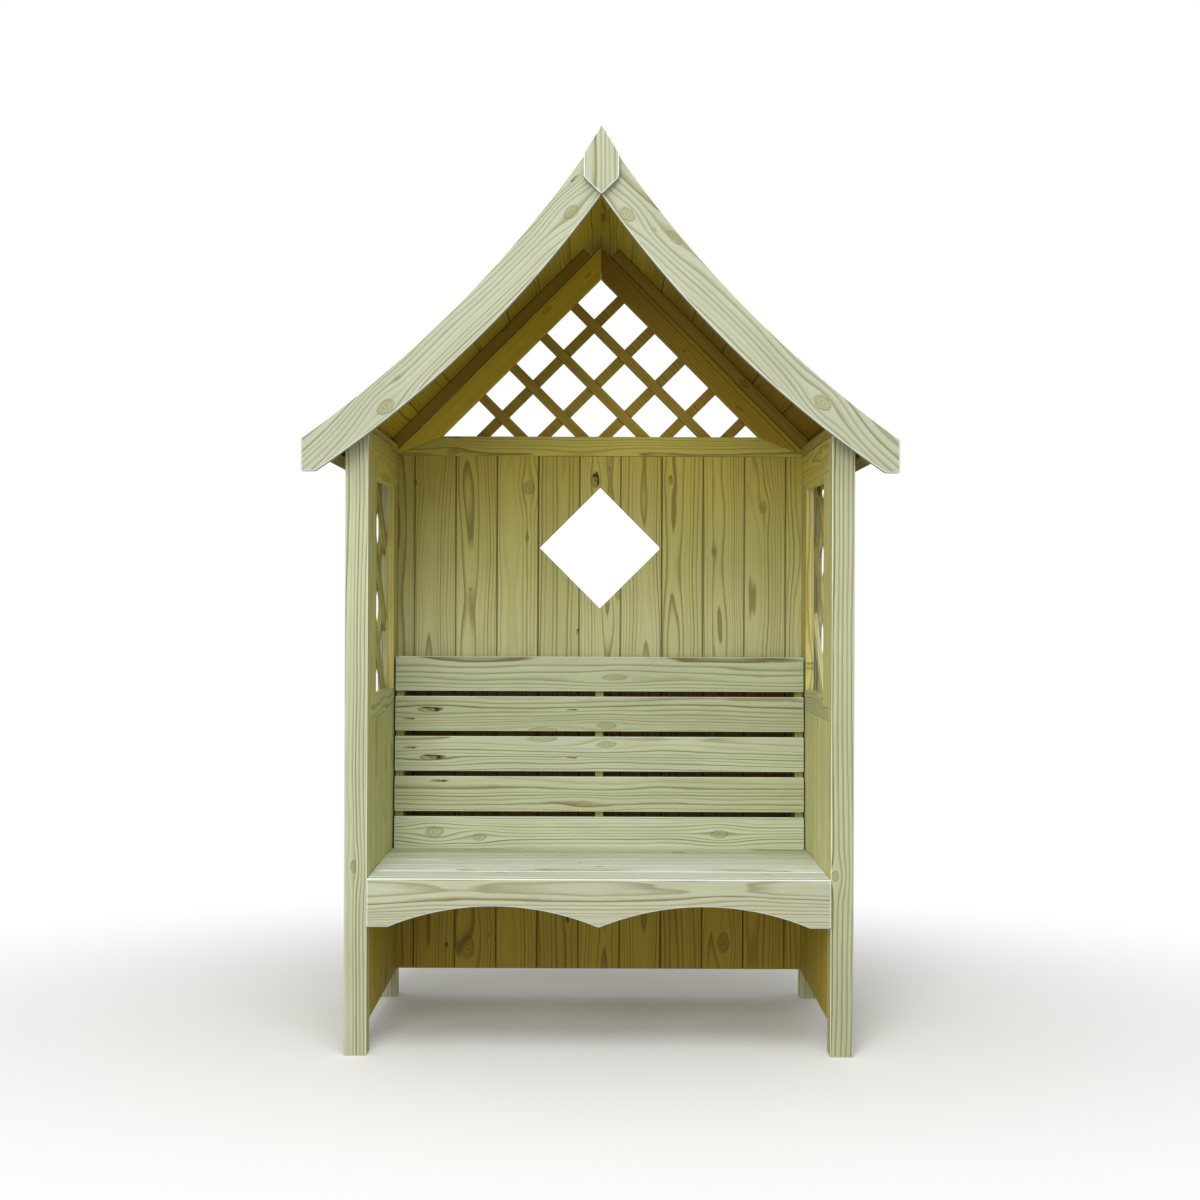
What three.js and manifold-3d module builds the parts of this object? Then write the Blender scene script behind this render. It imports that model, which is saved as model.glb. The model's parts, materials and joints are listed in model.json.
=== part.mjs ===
// Arbour seat: a garden bench between two trellised sides, under a steep boarded roof.
// Millimetres: X to the right, Y to the back, Z up, with the origin on the ground in the middle.
// Depths are counted backwards from the front faces of the front posts.
import * as THREE from "three";
import { mergeVertices } from "three/addons/utils/BufferGeometryUtils.js";
import Module from "manifold-3d";

const wasm = await Module();
wasm.setup();

// Clearance in every joint between two pieces
const FIT = 0.3;
// How far a cutter, or a piece about to be cut, reaches past the cut
const OVERRUN = 20;
// How deep two fused layers sink into each other
const BITE = 0.5;

// Posts
const POST = 53;
const POST_HEIGHT = 1431;
const CLEAR_WIDTH = 1067;
const BODY_DEPTH = 623;

// Tongue-and-groove boards of the back, the sides and the roof
const BOARD_THICK = 12;
const BOARD_COVER = 108.8;
const VEE_WIDTH = 4;
const VEE_DEPTH = 2.5;
const TONGUE_LENGTH = 6;
const TONGUE_THICK = 4;

// Side panels: two stiles let into two rails round a trellis, over a boarded lower half
const FRAME_THICK = 20;
const STILE_WIDTH = 92;
const TOP_RAIL_HEIGHT = 91;
const TOP_NOTCH = 12;
const MID_RAIL_ABOVE_SEAT = 412;
const MID_RAIL_HEIGHT = 52;
const MID_NOTCH = 20;
const REBATE_LEG = 30;
const SIDE_BOARDS_BOTTOM = 75;
const SIDE_BOTTOM_RAIL_BOTTOM = 90;
const SIDE_BOTTOM_RAIL_HEIGHT = 70;
const WALL_PLATE_THICK = 28;

// Back wall with its diamond window, and the three rails that its boards are nailed to
const BACK_BOARDS_BOTTOM = 78;
const CENTRE_BOARDS = 3;
const WINDOW_DROP = 242;
const WINDOW_HALF = 160;
const BACK_RAIL_HEIGHT = 70;
const BACK_RAIL_THICK = 23;
const BOTTOM_BACK_RAIL = 90;
const MIDDLE_BACK_RAIL = 905;

// Triangular frame of the gable, standing on the back posts
const GABLE_SEAT = 17.5;
const GABLE_BOTTOM_RAIL = 51.5;
const GABLE_RAIL = 58;

// Trellis laths, in two layers that cross at right angles
const LATH_WIDTH = 26;
const LATH_THICK = 11;
const GABLE_LATH_RISE = 162;
const GABLE_LATH_LAP = 36;
const GABLE_CROSSING_LEFT = 18.5;
const GABLE_CROSSING_DROP = 121;
const SIDE_LATH_RISE = 197;
const SIDE_LATH_LAP = 20;
const SIDE_CROSSING_FROM_STILE = 49;
const SIDE_CROSSING_DROP = 50.5;

// Roof: two slopes of boards on battens
const ROOF_BOARDS = 8;
const EAVES_OVERHANG = 54.85;
const ROOF_FRONT_OVERHANG = 50;
const ROOF_BACK_OVERHANG = 137;
const BATTEN_HEIGHT = 30.5;
const BATTEN_WIDTH = 30;
const BATTEN_FROM_RIDGE = 66;
const GABLE_BATTEN_CLEAR = 4;

// Front bargeboards: their top edge stands above the roof at both ends and sags between them
const BARGE_THICK = 20;
const BARGE_APEX_PROUD = 71.5;
const BARGE_APEX_HEIGHT = 147.5;
const BARGE_END_PROUD = 49;
const BARGE_END_HEIGHT = 75.5;
const BARGE_END_FLAT = 32.5;
const BARGE_END_OVERHANG = 27.5;
const BARGE_TOP_SAG = 44;
const BARGE_BOTTOM_SAG = 40;
const BARGE_STEPS = 32;
const BACK_FASCIA_WIDTH = 62;

// Finial over the joint of the front bargeboards
const FINIAL_THICK = 20;
const FINIAL_WIDTH = 80;
const FINIAL_PROUD = 5.5;
const FINIAL_TOP_POINT = 65.5;
const FINIAL_STRAIGHT = 54;
const FINIAL_BOTTOM_POINT = 39;

// Seat
const SEAT_HEIGHT = 410;
const SEAT_THICK = 20;
const SEAT_BOARDS = 5;
const SEAT_GAP = 2;
const BEARER_WIDTH = 45;
const BEARER_HEIGHT = 44;

// Apron under the seat's front edge, with two arches that meet in a point
const APRON_THICK = 20;
const APRON_PROUD = 12;
const APRON_HEIGHT = 112;
const APRON_FOOT = 48;
const ARCH_RISE = 48;
const ARCH_STEPS = 20;

// Backrest: leaning slats on upright battens that taper to the back wall
const SLATS = 5;
const SLAT_WIDTH = 90;
const SLAT_GAP = 13.5;
const SLAT_THICK = 20;
const SLAT_END_GAP = 4.5;
const SLAT_DROP = 9;
const RECLINE = Math.PI / 62;
const REST_BATTEN_WIDTH = 21;
const REST_BATTEN_SHORT = 9;
const BACKREST_DEPTH = 101.7;

// Colours of the pressure-treated pine
const PALE = 0xc9ccb1;
const POST_COLOUR = 0xbec197;
const SEAT_COLOUR = 0xb4ba8e;
const FRAME_COLOUR = 0xa9ab7a;
const BOARD_COLOUR = 0x969660;
const SHADED = 0x7d7845;

// Places worked out from the sizes above
const inner = CLEAR_WIDTH / 2;
const outer = inner + POST;
const snug = inner - FIT;
const backWall = BODY_DEPTH - POST;
const panelFront = POST + FIT;
const panelBack = backWall - FIT;
const openingFront = panelFront + STILE_WIDTH;
const openingBack = panelBack - STILE_WIDTH;
const openingTop = POST_HEIGHT - TOP_RAIL_HEIGHT;
const midRailTop = SEAT_HEIGHT + MID_RAIL_ABOVE_SEAT;
const midRailBottom = midRailTop - MID_RAIL_HEIGHT;
const trellisThick = LATH_THICK - BITE + LATH_THICK;
const postTop = POST_HEIGHT + FIT;
const gableHalf = inner + GABLE_SEAT;
const gableApex = postTop + gableHalf;
const gableOpeningBase = postTop + GABLE_BOTTOM_RAIL;
const gableOpeningApex = gableApex - GABLE_RAIL * Math.SQRT2;
const gableOpeningHalf = gableOpeningApex - gableOpeningBase;
const ridge = gableApex + (FIT + BATTEN_HEIGHT + FIT) * Math.SQRT2;
const windowCentre = POST_HEIGHT - WINDOW_DROP;
const roofTop = ridge + BOARD_THICK * Math.SQRT2;
const roofLength = (outer + EAVES_OVERHANG) * Math.SQRT2;
const roofFront = -ROOF_FRONT_OVERHANG;
const roofBack = BODY_DEPTH + ROOF_BACK_OVERHANG;
const bargeBack = roofFront - FIT;
const bargeFront = bargeBack - BARGE_THICK;
const bargeApex = roofTop + BARGE_APEX_PROUD;
const finialBack = bargeFront - FIT;
const finialFront = finialBack - FINIAL_THICK;
const fasciaFront = roofBack + FIT;
const fasciaBack = fasciaFront + BARGE_THICK;
const bearerTop = SEAT_HEIGHT - SEAT_THICK - FIT;
const apronBack = APRON_THICK - APRON_PROUD;
const seatFront = apronBack + FIT;
const seatBack = backWall - BACKREST_DEPTH;
const seatPitch = (seatBack - seatFront) / SEAT_BOARDS;

const arbour = new THREE.Group();
arbour.position.y = -(finialFront + fasciaBack) / 2;

// Adds one piece of wood to the arbour, or to a group inside it
function add(parent, name, colour, geometry) {
  const material = new THREE.MeshStandardMaterial({ color: colour, roughness: 0.75, metalness: 0 });
  const mesh = new THREE.Mesh(geometry, material);
  mesh.name = name;
  parent.add(mesh);
}

function extruded(points, length) {
  const shape = new THREE.Shape(points.map(([u, v]) => new THREE.Vector2(u, v)));
  return new THREE.ExtrudeGeometry(shape, { depth: length, bevelEnabled: false });
}

// An outline in X and Z, extruded from one depth back to another
function alongDepth(points, front, back) {
  return extruded(points, back - front).rotateX(Math.PI / 2).translate(0, back, 0);
}

// An outline in depth and Z, extruded to the right
const TO_THE_RIGHT = new THREE.Matrix4().set(0, 0, 1, 0, 1, 0, 0, 0, 0, 1, 0, 0, 0, 0, 0, 1);
function across(points, left, right) {
  return extruded(points, right - left).applyMatrix4(TO_THE_RIGHT).translate(left, 0, 0);
}

// An outline in X and depth, extruded upwards
function upright(points, bottom, top) {
  return extruded(points, top - bottom).translate(0, 0, bottom);
}

// A straight board, given by where it starts and ends along X, the depth and Z
function board([left, right], [front, back], [bottom, top]) {
  const box = new THREE.BoxGeometry(right - left, back - front, top - bottom);
  return box.translate((left + right) / 2, (front + back) / 2, (bottom + top) / 2);
}

function toSolid(geometry) {
  const bare = geometry.clone();
  bare.deleteAttribute("normal");
  bare.deleteAttribute("uv");
  const merged = mergeVertices(bare);
  const vertProperties = new Float32Array(merged.attributes.position.array);
  const triVerts = new Uint32Array(merged.index.array);
  return new wasm.Manifold(new wasm.Mesh({ numProp: 3, vertProperties, triVerts }));
}

function toGeometry(solid) {
  const mesh = solid.getMesh();
  const geometry = new THREE.BufferGeometry();
  geometry.setAttribute("position", new THREE.BufferAttribute(mesh.vertProperties, mesh.numProp));
  geometry.setIndex(new THREE.BufferAttribute(mesh.triVerts, 1));
  const faceted = geometry.toNonIndexed();
  faceted.computeVertexNormals();
  return faceted;
}

function joined(geometries) {
  return geometries.map(toSolid).reduce((sum, next) => sum.add(next));
}

// Points of a round arc between two points, which bulges to the left of the way by a given rise,
// or to the right where the rise is negative
function arc([fromU, fromV], [toU, toV], rise, steps) {
  const wayU = toU - fromU;
  const wayV = toV - fromV;
  const length = Math.hypot(wayU, wayV);
  const radius = (length * length + 4 * rise * rise) / (8 * rise);
  const share = (rise - radius) / length;
  const u = (fromU + toU) / 2 - wayV * share;
  const v = (fromV + toV) / 2 + wayU * share;
  const start = Math.atan2(fromV - v, fromU - u);
  const end = Math.atan2(toV - v, toU - u);
  const size = Math.abs(radius);
  const curve = new THREE.EllipseCurve(u, v, size, size, start, end, rise > 0);
  return curve.getPoints(steps).map((point) => [point.x, point.y]);
}

// The edges of a board, from its face to its back: square, with a tongue, or with a groove.
// A tongue points to lower values and a groove opens to higher ones.
function squareEdge(at) {
  return [[at, 0], [at, BOARD_THICK]];
}

function tongueEdge(seam) {
  const at = seam + FIT / 2;
  const low = (BOARD_THICK - TONGUE_THICK) / 2;
  const high = low + TONGUE_THICK;
  return [
    [at + VEE_WIDTH / 2, 0],
    [at, VEE_DEPTH],
    [at, low],
    [at - TONGUE_LENGTH, low],
    [at - TONGUE_LENGTH, high],
    [at, high],
    [at, BOARD_THICK - VEE_DEPTH],
    [at + VEE_WIDTH / 2, BOARD_THICK],
  ];
}

function grooveEdge(seam) {
  const at = seam - FIT / 2;
  const low = (BOARD_THICK - TONGUE_THICK) / 2 - FIT;
  const high = BOARD_THICK - low;
  const end = at - TONGUE_LENGTH - FIT;
  return [
    [at - VEE_WIDTH / 2, 0],
    [at, VEE_DEPTH],
    [at, low],
    [end, low],
    [end, high],
    [at, high],
    [at, BOARD_THICK - VEE_DEPTH],
    [at - VEE_WIDTH / 2, BOARD_THICK],
  ];
}

// The section of boards laid side by side, with a V along both faces at each seam between them
function boarding(startEdge, endEdge, seams) {
  const vee = (seam, face, depth) => [
    [seam - VEE_WIDTH / 2, face],
    [seam, depth],
    [seam + VEE_WIDTH / 2, face],
  ];
  const near = seams.flatMap((seam) => vee(seam, 0, VEE_DEPTH));
  const far = seams.flatMap((seam) => vee(seam, BOARD_THICK, BOARD_THICK - VEE_DEPTH));
  return [...near, ...endEdge, ...far.reverse(), ...startEdge.reverse()];
}

// How far whole boards reach into a width, when the last one still has room for its V
function wholeBoards(width) {
  return BOARD_COVER * Math.floor((width - VEE_WIDTH) / BOARD_COVER);
}

// Seams one board apart, from a first one up to the last that leaves room for its V
function seamsFrom(first, end) {
  const seams = [];
  for (let seam = first; seam < end - VEE_WIDTH; seam += BOARD_COVER) {
    seams.push(seam);
  }
  return seams;
}

// Heights at which the laths of one layer cross the line u = 0, evenly spaced from a known crossing,
// without those that would be cut short in a corner of the opening
function lathLevels(opening, slope, [crossingU, crossingV], rise) {
  const reach = opening.map(([u, v]) => v - slope * u);
  const least = (rise * Math.SQRT1_2) / 2;
  const low = Math.min(...reach) + least;
  const high = Math.max(...reach) - least;
  const known = crossingV - slope * crossingU;
  const levels = [];
  for (let level = known - rise * Math.floor((known - low) / rise); level < high; level += rise) {
    levels.push(level);
  }
  return levels;
}

// One layer of laths at 45 degrees, drawn in u and v between two values of u
function lathLayer(levels, slope, from, to) {
  const half = LATH_WIDTH * Math.SQRT1_2;
  return levels.map((level) => {
    const start = level + slope * from;
    const end = level + slope * to;
    const lath = [[from, start - half], [to, end - half], [to, end + half], [from, start + half]];
    return extruded(lath, LATH_THICK);
  });
}

// Two crossing layers of laths over an opening, cut to the edge along which they are nailed.
// The lower layer rises as u grows and the upper one falls.
function trellis(opening, edge, crossing, rise) {
  const from = Math.min(...edge.map(([u]) => u)) - OVERRUN;
  const to = Math.max(...edge.map(([u]) => u)) + OVERRUN;
  const rising = lathLayer(lathLevels(opening, 1, crossing, rise), 1, from, to);
  const falling = lathLayer(lathLevels(opening, -1, crossing, rise), -1, from, to);
  falling.forEach((lath) => lath.translate(0, 0, LATH_THICK - BITE));
  const cutter = extruded(edge, OVERRUN + trellisThick + OVERRUN).translate(0, 0, -OVERRUN);
  return toGeometry(joined([...rising, ...falling]).intersect(toSolid(cutter)));
}

function addPosts(half, side) {
  const height = [0, POST_HEIGHT];
  add(half, `post_front_${side}`, POST_COLOUR, board([inner, outer], [0, POST], height));
  add(half, `post_back_${side}`, POST_COLOUR, board([inner, outer], [backWall, BODY_DEPTH], height));
}

// A side rail whose notched edge is cut back to a shoulder at both ends, where the stiles are let in
function notchedRail(plainEdge, shoulder, notchedEdge) {
  const front = openingFront + FIT;
  const back = openingBack - FIT;
  const points = [
    [panelFront, plainEdge],
    [panelBack, plainEdge],
    [panelBack, shoulder],
    [back, shoulder],
    [back, notchedEdge],
    [front, notchedEdge],
    [front, shoulder],
    [panelFront, shoulder],
  ];
  return across(points, inner, inner + FRAME_THICK);
}

function addSideFrame(half, side) {
  const topShoulder = openingTop + TOP_NOTCH;
  const midShoulder = midRailTop - MID_NOTCH;
  const topRail = notchedRail(POST_HEIGHT, topShoulder, openingTop);
  add(half, `side_top_rail_${side}`, FRAME_COLOUR, topRail);

  // The middle rail has a leg behind the tops of the boards under it
  const leg = board(
    [inner + BOARD_THICK + FIT, inner + FRAME_THICK],
    [panelFront, panelBack],
    [midRailBottom - REBATE_LEG, midRailBottom + BITE],
  );
  const midRail = joined([notchedRail(midRailBottom, midShoulder, midRailTop), leg]);
  add(half, `side_mid_rail_${side}`, FRAME_COLOUR, toGeometry(midRail));

  const thick = [inner, inner + FRAME_THICK];
  const height = [midShoulder + FIT, topShoulder - FIT];
  const front = board(thick, [panelFront, openingFront], height);
  const back = board(thick, [openingBack, panelBack], height);
  add(half, `side_stile_front_${side}`, FRAME_COLOUR, front);
  add(half, `side_stile_back_${side}`, FRAME_COLOUR, back);
}

function addSideBoards(half, side) {
  const first = backWall - wholeBoards(backWall - panelFront);
  const seams = seamsFrom(first, panelBack);
  const section = boarding(squareEdge(panelFront), squareEdge(panelBack), seams);
  const plan = section.map(([depth, out]) => [inner + out, depth]);
  const boards = upright(plan, SIDE_BOARDS_BOTTOM, midRailBottom - FIT);
  add(half, `side_boards_${side}`, BOARD_COLOUR, boards);

  const face = inner + BOARD_THICK + FIT;
  const top = SIDE_BOTTOM_RAIL_BOTTOM + SIDE_BOTTOM_RAIL_HEIGHT;
  const height = [SIDE_BOTTOM_RAIL_BOTTOM, top];
  const rail = board([face, face + FRAME_THICK], [panelFront, panelBack], height);
  add(half, `side_bottom_rail_${side}`, FRAME_COLOUR, rail);
}

// The plate on top of each side, its outer edge planed to the slope of the roof that rests on it
function addWallPlate(half, side) {
  const top = postTop + WALL_PLATE_THICK;
  const underRoof = ridge - FIT * Math.SQRT2;
  const points = [
    [inner, postTop],
    [outer, postTop],
    [outer, underRoof - outer],
    [underRoof - top, top],
    [inner, top],
  ];
  add(half, `wall_plate_${side}`, FRAME_COLOUR, alongDepth(points, 0, panelBack));
}

// Both sides carry the same trellis outside their frame, so its rising laths lie to the left on each
function addSideTrellises() {
  const half = (openingBack - openingFront) / 2;
  const height = openingTop - midRailTop;
  const opening = [[-half, 0], [half, 0], [half, height], [-half, height]];
  const wide = half + SIDE_LATH_LAP;
  const low = -SIDE_LATH_LAP;
  const high = height + SIDE_LATH_LAP;
  const edge = [[-wide, low], [wide, low], [wide, high], [-wide, high]];
  const crossing = [SIDE_CROSSING_FROM_STILE - half, height - SIDE_CROSSING_DROP];
  const middle = (openingFront + openingBack) / 2;
  const face = inner + FRAME_THICK + FIT;
  for (const [side, left] of [["left", -face - trellisThick], ["right", face]]) {
    const laths = trellis(opening, edge, crossing, SIDE_LATH_RISE).applyMatrix4(TO_THE_RIGHT);
    add(arbour, `side_trellis_${side}`, SHADED, laths.translate(left, middle, midRailTop));
  }
}

// Turns distances down a slope of the roof, and out of its underside, into X and Z
function onSlope(points) {
  return points.map(([down, out]) => [
    (down + out) * Math.SQRT1_2,
    ridge + (out - down) * Math.SQRT1_2,
  ]);
}

// Where a roof piece ends at the ridge. The left slope runs on over the edge of the right one, whose
// pieces butt against the underside of the left ones.
function ridgeEnd(side, underside) {
  return side === "left" ? -BOARD_THICK : FIT - underside;
}

function addRoofSlope(half, side) {
  const cover = roofLength / ROOF_BOARDS;
  const seams = Array.from({ length: ROOF_BOARDS - 1 }, (_, i) => cover * (i + 1));
  const deck = onSlope(boarding(squareEdge(ridgeEnd(side, 0)), squareEdge(roofLength), seams));
  add(half, `roof_boards_${side}`, SHADED, alongDepth(deck, roofFront, roofBack));

  const bottom = BOARD_THICK - BACK_FASCIA_WIDTH;
  const start = ridgeEnd(side, bottom);
  const fascia = onSlope([
    [start, BOARD_THICK],
    [roofLength, BOARD_THICK],
    [roofLength, bottom],
    [start, bottom],
  ]);
  add(half, `bargeboard_back_${side}`, PALE, alongDepth(fascia, fasciaFront, fasciaBack));
}

// Battens under the roof boards: behind the bargeboard, on the gable frame and along the eaves
function addRoofBattens(half, side) {
  const top = -FIT;
  const bottom = top - BATTEN_HEIGHT;
  const eaves = roofLength - BATTEN_WIDTH;
  const abovePost = ridge - postTop - GABLE_BATTEN_CLEAR;
  const gableEnd = abovePost * Math.SQRT2 + bottom;
  const battens = {
    front: [BATTEN_FROM_RIDGE, eaves - FIT, roofFront, roofFront + BATTEN_WIDTH],
    gable: [BATTEN_FROM_RIDGE, gableEnd, backWall, backWall + BATTEN_WIDTH],
    eaves: [eaves, roofLength, roofFront, roofBack],
  };
  for (const [name, [from, to, front, back]] of Object.entries(battens)) {
    const points = onSlope([[from, top], [to, top], [to, bottom], [from, bottom]]);
    add(half, `roof_batten_${name}_${side}`, SHADED, alongDepth(points, front, back));
  }
}

function addBargeboard(half, side) {
  const centre = FIT / 2;
  const end = (roofLength + BOARD_THICK) * Math.SQRT1_2 + BARGE_END_OVERHANG;
  const endTop = roofTop - end + BARGE_END_PROUD;
  const endBottom = endTop - BARGE_END_HEIGHT;
  const apexBottom = bargeApex - BARGE_APEX_HEIGHT;
  const points = [
    ...arc([centre, bargeApex], [end, endTop], -BARGE_TOP_SAG, BARGE_STEPS),
    [end, endBottom],
    ...arc([end - BARGE_END_FLAT, endBottom], [centre, apexBottom], BARGE_BOTTOM_SAG, BARGE_STEPS),
  ];
  add(half, `bargeboard_front_${side}`, PALE, alongDepth(points, bargeFront, bargeBack));
}

function addFinial() {
  const half = FINIAL_WIDTH / 2;
  const tip = bargeApex + FINIAL_PROUD;
  const upper = tip - FINIAL_TOP_POINT;
  const lower = upper - FINIAL_STRAIGHT;
  const points = [
    [0, lower - FINIAL_BOTTOM_POINT],
    [half, lower],
    [half, upper],
    [0, tip],
    [-half, upper],
    [-half, lower],
  ];
  add(arbour, "finial", PALE, alongDepth(points, finialFront, finialBack));
}

// The back wall in three groups of boards, joined by tongues and grooves. The centre group has the
// diamond window sawn through it.
function addBackBoards() {
  const seam = (CENTRE_BOARDS * BOARD_COVER) / 2;
  const firstLeft = -seam - wholeBoards(snug - seam);
  const groups = {
    left: boarding(squareEdge(-snug), grooveEdge(-seam), seamsFrom(firstLeft, -seam)),
    centre: boarding(tongueEdge(-seam), grooveEdge(seam), seamsFrom(-seam + BOARD_COVER, seam)),
    right: boarding(tongueEdge(seam), squareEdge(snug), seamsFrom(seam + BOARD_COVER, snug)),
  };
  for (const [name, section] of Object.entries(groups)) {
    const plan = section.map(([x, depth]) => [x, backWall + depth]);
    const boards = upright(plan, BACK_BOARDS_BOTTOM, POST_HEIGHT);
    const geometry = name === "centre" ? withWindow(boards) : boards;
    add(arbour, `back_boards_${name}`, BOARD_COLOUR, geometry);
  }
}

function withWindow(boards) {
  const diamond = [
    [-WINDOW_HALF, windowCentre],
    [0, windowCentre - WINDOW_HALF],
    [WINDOW_HALF, windowCentre],
    [0, windowCentre + WINDOW_HALF],
  ];
  const cutter = alongDepth(diamond, backWall - OVERRUN, backWall + BOARD_THICK + OVERRUN);
  return toGeometry(toSolid(boards).subtract(toSolid(cutter)));
}

function addBackRails() {
  const bottoms = {
    bottom: BOTTOM_BACK_RAIL,
    middle: MIDDLE_BACK_RAIL,
    top: POST_HEIGHT - BACK_RAIL_HEIGHT,
  };
  const front = backWall + BOARD_THICK + FIT;
  for (const [name, bottom] of Object.entries(bottoms)) {
    const height = [bottom, bottom + BACK_RAIL_HEIGHT];
    const rail = board([-snug, snug], [front, front + BACK_RAIL_THICK], height);
    add(arbour, `back_rail_${name}`, FRAME_COLOUR, rail);
  }
}

// Three rails mitred at the corners of the gable
function addGableFrame() {
  const back = backWall + FRAME_THICK;
  const mitre = Math.atan2(GABLE_BOTTOM_RAIL, gableHalf - gableOpeningHalf);
  const gap = FIT / Math.sin(mitre);
  const bottomRail = [
    [gap - gableHalf, postTop],
    [gableHalf - gap, postTop],
    [gableOpeningHalf - gap, gableOpeningBase],
    [gap - gableOpeningHalf, gableOpeningBase],
  ];
  add(arbour, "gable_rail_bottom", SHADED, alongDepth(bottomRail, backWall, back));
  const lip = FIT / 2;
  for (const [side, sign] of [["left", -1], ["right", 1]]) {
    const rail = [
      [sign * lip, gableOpeningApex - lip],
      [sign * gableOpeningHalf, gableOpeningBase],
      [sign * gableHalf, postTop],
      [sign * lip, gableApex - lip],
    ];
    add(arbour, `gable_rail_${side}`, SHADED, alongDepth(rail, backWall, back));
  }
}

function addGableTrellis() {
  const base = gableOpeningBase;
  const low = base - GABLE_LATH_LAP;
  const apex = gableOpeningApex + GABLE_LATH_LAP * Math.SQRT2;
  const opening = [[-gableOpeningHalf, base], [gableOpeningHalf, base], [0, gableOpeningApex]];
  const edge = [[low - apex, low], [apex - low, low], [0, apex]];
  const crossing = [-GABLE_CROSSING_LEFT, gableOpeningApex - GABLE_CROSSING_DROP];
  const laths = trellis(opening, edge, crossing, GABLE_LATH_RISE);
  laths.rotateX(Math.PI / 2).translate(0, backWall + FRAME_THICK + FIT + trellisThick, 0);
  add(arbour, "gable_trellis", SHADED, laths);
}

function addSeat() {
  for (let i = 0; i < SEAT_BOARDS; i += 1) {
    const front = seatFront + i * seatPitch;
    const height = [SEAT_HEIGHT - SEAT_THICK, SEAT_HEIGHT];
    const seatBoard = board([-snug, snug], [front, front + seatPitch - SEAT_GAP], height);
    add(arbour, `seat_board_${i + 1}`, SEAT_COLOUR, seatBoard);
  }
  const lefts = { left: -snug, centre: -BEARER_WIDTH / 2, right: snug - BEARER_WIDTH };
  for (const [name, left] of Object.entries(lefts)) {
    const height = [bearerTop - BEARER_HEIGHT, bearerTop];
    const bearer = board([left, left + BEARER_WIDTH], [seatFront, panelBack], height);
    add(arbour, `seat_bearer_${name}`, FRAME_COLOUR, bearer);
  }
}

function addApron() {
  const bottom = SEAT_HEIGHT - APRON_HEIGHT;
  const arch = snug - APRON_FOOT;
  const points = [
    [-snug, bottom],
    ...arc([-arch, bottom], [0, bottom], ARCH_RISE, ARCH_STEPS),
    ...arc([0, bottom], [arch, bottom], ARCH_RISE, ARCH_STEPS).slice(1),
    [snug, bottom],
    [snug, SEAT_HEIGHT],
    [-snug, SEAT_HEIGHT],
  ];
  add(arbour, "seat_apron", PALE, alongDepth(points, -APRON_PROUD, apronBack));
}

function addBackrest() {
  const half = inner - SLAT_END_GAP;
  const lean = new THREE.Group();
  lean.position.set(0, seatBack, SEAT_HEIGHT);
  lean.rotation.x = -RECLINE;
  arbour.add(lean);
  for (let i = 0; i < SLATS; i += 1) {
    const bottom = (SLATS - 1 - i) * (SLAT_WIDTH + SLAT_GAP) - SLAT_DROP;
    const slat = board([-half, half], [0, SLAT_THICK], [bottom, bottom + SLAT_WIDTH]);
    add(lean, `back_slat_${i + 1}`, SEAT_COLOUR, slat);
  }
  addBackrestBattens(half);
}

function addBackrestBattens(half) {
  const bottom = bearerTop + FIT;
  const slatsTop = (SLATS - 1) * (SLAT_WIDTH + SLAT_GAP) + SLAT_WIDTH - SLAT_DROP;
  const top = SEAT_HEIGHT + slatsTop * Math.cos(RECLINE) - REST_BATTEN_SHORT;
  const behindSlats = seatBack + (SLAT_THICK + FIT) / Math.cos(RECLINE);
  const frontAt = (z) => behindSlats + (z - SEAT_HEIGHT) * Math.tan(RECLINE);
  const points = [
    [frontAt(bottom), bottom],
    [panelBack, bottom],
    [panelBack, top],
    [frontAt(top), top],
  ];
  const lefts = { left: -half, centre: -REST_BATTEN_WIDTH / 2, right: half - REST_BATTEN_WIDTH };
  for (const [name, left] of Object.entries(lefts)) {
    const batten = across(points, left, left + REST_BATTEN_WIDTH);
    add(arbour, `backrest_batten_${name}`, FRAME_COLOUR, batten);
  }
}

for (const [side, sign] of [["left", -1], ["right", 1]]) {
  const half = new THREE.Group();
  half.scale.x = sign;
  arbour.add(half);
  addPosts(half, side);
  addSideFrame(half, side);
  addSideBoards(half, side);
  addWallPlate(half, side);
  addRoofSlope(half, side);
  addRoofBattens(half, side);
  addBargeboard(half, side);
}
addSideTrellises();
addFinial();
addBackBoards();
addBackRails();
addGableFrame();
addGableTrellis();
addSeat();
addApron();
addBackrest();

const arbourSeat = new THREE.Group();
arbourSeat.add(arbour);

export default arbourSeat;
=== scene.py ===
"""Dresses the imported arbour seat: treated pine, a pale floor, soft light and the photograph's view."""
import json
import math
import random
from collections import namedtuple

import bmesh
import bpy
from mathutils import Matrix, Vector
from mathutils.bvhtree import BVHTree


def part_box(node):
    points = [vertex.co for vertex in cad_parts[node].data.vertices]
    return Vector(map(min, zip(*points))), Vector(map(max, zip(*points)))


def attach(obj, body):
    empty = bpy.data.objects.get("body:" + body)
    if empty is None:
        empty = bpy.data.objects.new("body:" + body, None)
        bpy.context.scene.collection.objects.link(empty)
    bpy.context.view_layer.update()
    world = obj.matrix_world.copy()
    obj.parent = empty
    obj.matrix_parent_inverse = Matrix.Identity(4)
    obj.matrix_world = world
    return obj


MM = 0.001
X = Vector((1, 0, 0))
Y = Vector((0, 1, 0))
Z = Vector((0, 0, 1))

# Camera, worked out from the perspective of the posts and the seat, and pixels of the photograph
POST_FACE_TO_CAMERA = 3833 * MM
EYE_HEIGHT = 1041 * MM
LENS_MM = 50
SENSOR_MM = 36
CAMERA_ROLL = 0.0038
VIEW_REACH = 100
PHOTO_SIZE = 1200
PRINCIPAL_X = 599.85
PRINCIPAL_Y = 604.0

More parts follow.
